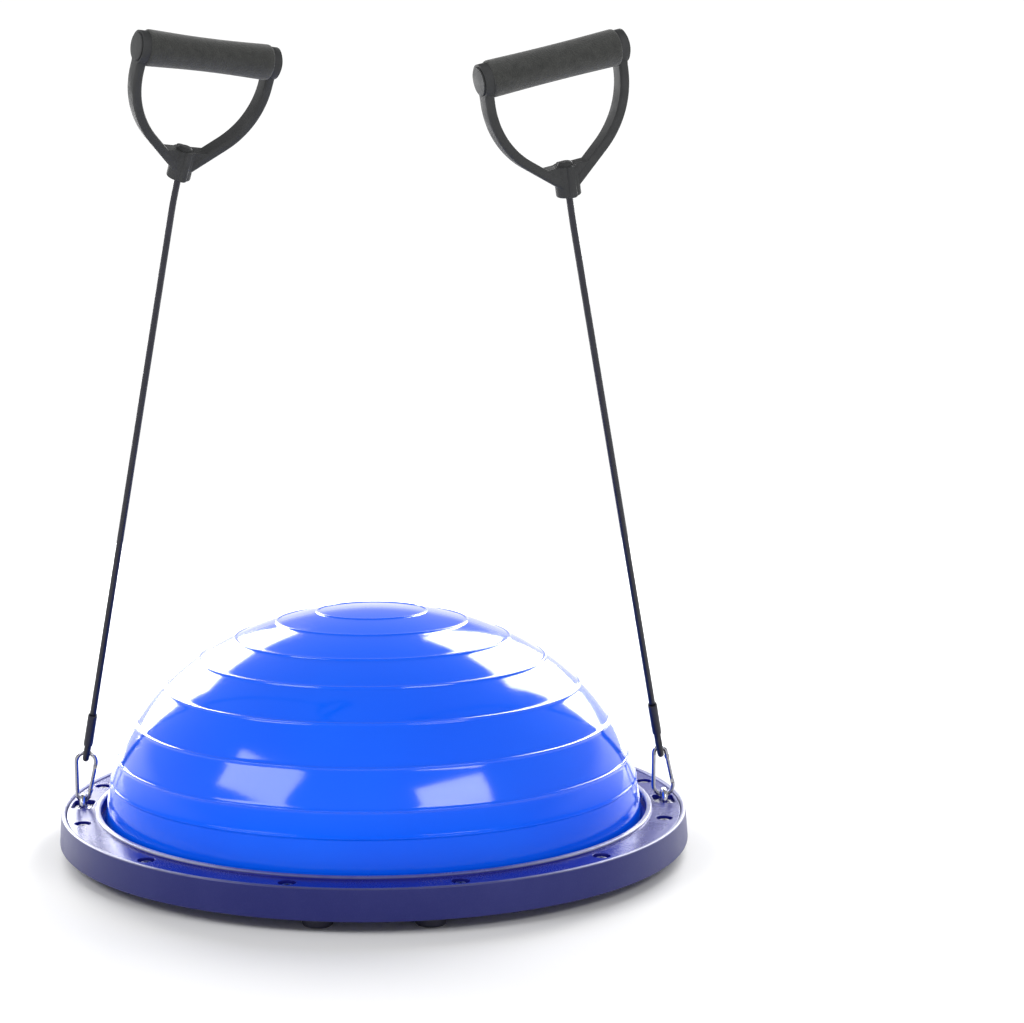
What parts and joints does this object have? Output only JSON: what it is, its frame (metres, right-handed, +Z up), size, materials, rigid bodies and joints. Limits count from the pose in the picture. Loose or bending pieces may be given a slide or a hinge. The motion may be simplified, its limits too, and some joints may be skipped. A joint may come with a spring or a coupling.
{
  "type": "balance dome trainer",
  "caption": "Half-ball balance trainer: a ribbed air dome on a round footed platform, with elastic tube bands and D-shaped foam-grip handles hooked to each side.",
  "frame": {"origin": "on the floor at the centre of the platform, below the dome's crown", "axes": "+Z up through the dome's crown, +X from the dome's axis to the right-hand band anchor, -Y to the front"},
  "size_m": [0.5899, 0.59, 0.733],
  "materials": {
    "moulded_platform": "fine-grained navy moulded plastic",
    "dome_vinyl": "glossy blue vinyl",
    "screw_steel": "blackened steel",
    "valve_vinyl": "soft white vinyl",
    "foot_rubber": "moulded rubber",
    "anchor_steel": "zinc plated steel",
    "hook_steel": "bright nickel plated steel",
    "band_rubber": "latex tube, satin",
    "sleeve_rubber": "shrunk rubber sleeve",
    "handle_plastic": "charcoal moulded plastic",
    "grip_tube_plastic": "plastic tube",
    "grip_foam": "closed-cell foam, matte"
  },
  "bodies": {
    "base": {"base_platform": "moulded_platform", "clamp_ring": "moulded_platform", "ring_screws": "screw_steel", "dome_bottom": "dome_vinyl", "valve_seat": "valve_vinyl", "valve_plug": "valve_vinyl", "foot_1": "foot_rubber", "foot_2": "foot_rubber", "foot_3": "foot_rubber", "foot_4": "foot_rubber", "foot_5": "foot_rubber", "foot_6": "foot_rubber", "foot_7": "foot_rubber", "foot_8": "foot_rubber", "u_bolt_left": "anchor_steel", "anchor_plate_left": "anchor_steel", "anchor_nuts_left": "anchor_steel", "u_bolt_right": "anchor_steel", "anchor_plate_right": "anchor_steel", "anchor_nuts_right": "anchor_steel"},
    "dome": {"dome_shell": "dome_vinyl"},
    "hook_left": {"carabiner_left": "hook_steel", "gate_pin_left": "hook_steel"},
    "gate_left": {"gate_left": "hook_steel"},
    "band_left": {"band_left": "band_rubber", "band_sleeve_left": "sleeve_rubber"},
    "tube_end_left": {"stopper_left": "handle_plastic"},
    "handle_left": {"handle_frame_left": "handle_plastic", "grip_cap_left_a": "handle_plastic", "grip_cap_left_b": "handle_plastic"},
    "grip_left": {"grip_tube_left": "grip_tube_plastic", "foam_grip_left": "grip_foam"},
    "hook_right": {"carabiner_right": "hook_steel", "gate_pin_right": "hook_steel"},
    "gate_right": {"gate_right": "hook_steel"},
    "band_right": {"band_right": "band_rubber", "band_sleeve_right": "sleeve_rubber"},
    "tube_end_right": {"stopper_right": "handle_plastic"},
    "handle_right": {"handle_frame_right": "handle_plastic", "grip_cap_right_a": "handle_plastic", "grip_cap_right_b": "handle_plastic"},
    "grip_right": {"grip_tube_right": "grip_tube_plastic", "foam_grip_right": "grip_foam"}
  },
  "joints": [
    {"name": "dome_press", "type": "slide", "parent": "base", "child": "dome", "axis": [0, 0, 1], "range_m": [-0.035, 0], "stiffness_N_per_m": 20000, "springref_m": 0.0012, "deforming": ["dome_shell"]},
    {"name": "hook_swing_left", "type": "hinge", "parent": "base", "child": "hook_left", "pos_m": [-0.2753, 0, 0.045], "axis": [0, 1, 0], "range_deg": [-70, 16]},
    {"name": "gate_spring_left", "type": "hinge", "parent": "hook_left", "child": "gate_left", "pos_m": [-0.26348, 0, 0.07255], "axis": [0, 1, 0], "range_deg": [0, 18], "stiffness_Nm_per_rad": 0.02, "springref_deg": -20.05},
    {"name": "band_swing_left", "type": "hinge", "parent": "hook_left", "child": "band_left", "pos_m": [-0.27094, 0, 0.08647], "axis": [0.9945, 0, -0.1045], "range_deg": [-89, 61]},
    {"name": "band_stretch_left", "type": "slide", "parent": "band_left", "child": "tube_end_left", "axis": [0.194, -0.2307, 0.9535], "range_m": [0, 0.45], "stiffness_N_per_m": 100, "deforming": ["band_left"]},
    {"name": "handle_swivel_left", "type": "hinge", "parent": "tube_end_left", "child": "handle_left", "pos_m": [-0.16198, -0.12993, 0.61655], "axis": [0.2747, -0.3571, 0.8928], "continuous": true},
    {"name": "grip_roll_left", "type": "hinge", "parent": "handle_left", "child": "grip_left", "pos_m": [-0.13177, -0.16921, 0.71476], "axis": [0.859, 0.5083, -0.061], "continuous": true},
    {"name": "hook_swing_right", "type": "hinge", "parent": "base", "child": "hook_right", "pos_m": [0.2753, 0, 0.045], "axis": [0, 1, 0], "range_deg": [-16, 55]},
    {"name": "gate_spring_right", "type": "hinge", "parent": "hook_right", "child": "gate_right", "pos_m": [0.28323, 0, 0.05445], "axis": [0, -1, 0], "range_deg": [0, 18], "stiffness_Nm_per_rad": 0.02, "springref_deg": -20.05},
    {"name": "band_swing_right", "type": "hinge", "parent": "hook_right", "child": "band_right", "pos_m": [0.27094, 0, 0.08647], "axis": [0.9945, 0, 0.1045], "range_deg": [-96, 54]},
    {"name": "band_stretch_right", "type": "slide", "parent": "band_right", "child": "tube_end_right", "axis": [-0.1892, -0.3599, 0.9136], "range_m": [0, 0.45], "stiffness_N_per_m": 100, "deforming": ["band_right"]},
    {"name": "handle_swivel_right", "type": "hinge", "parent": "tube_end_right", "child": "handle_right", "pos_m": [0.16604, -0.19977, 0.59537], "axis": [-0.1535, -0.3119, 0.9376], "continuous": true},
    {"name": "grip_roll_right", "type": "hinge", "parent": "handle_right", "child": "grip_right", "pos_m": [0.14915, -0.23408, 0.69851], "axis": [0.925, 0.2885, 0.2474], "continuous": true}
  ]
}
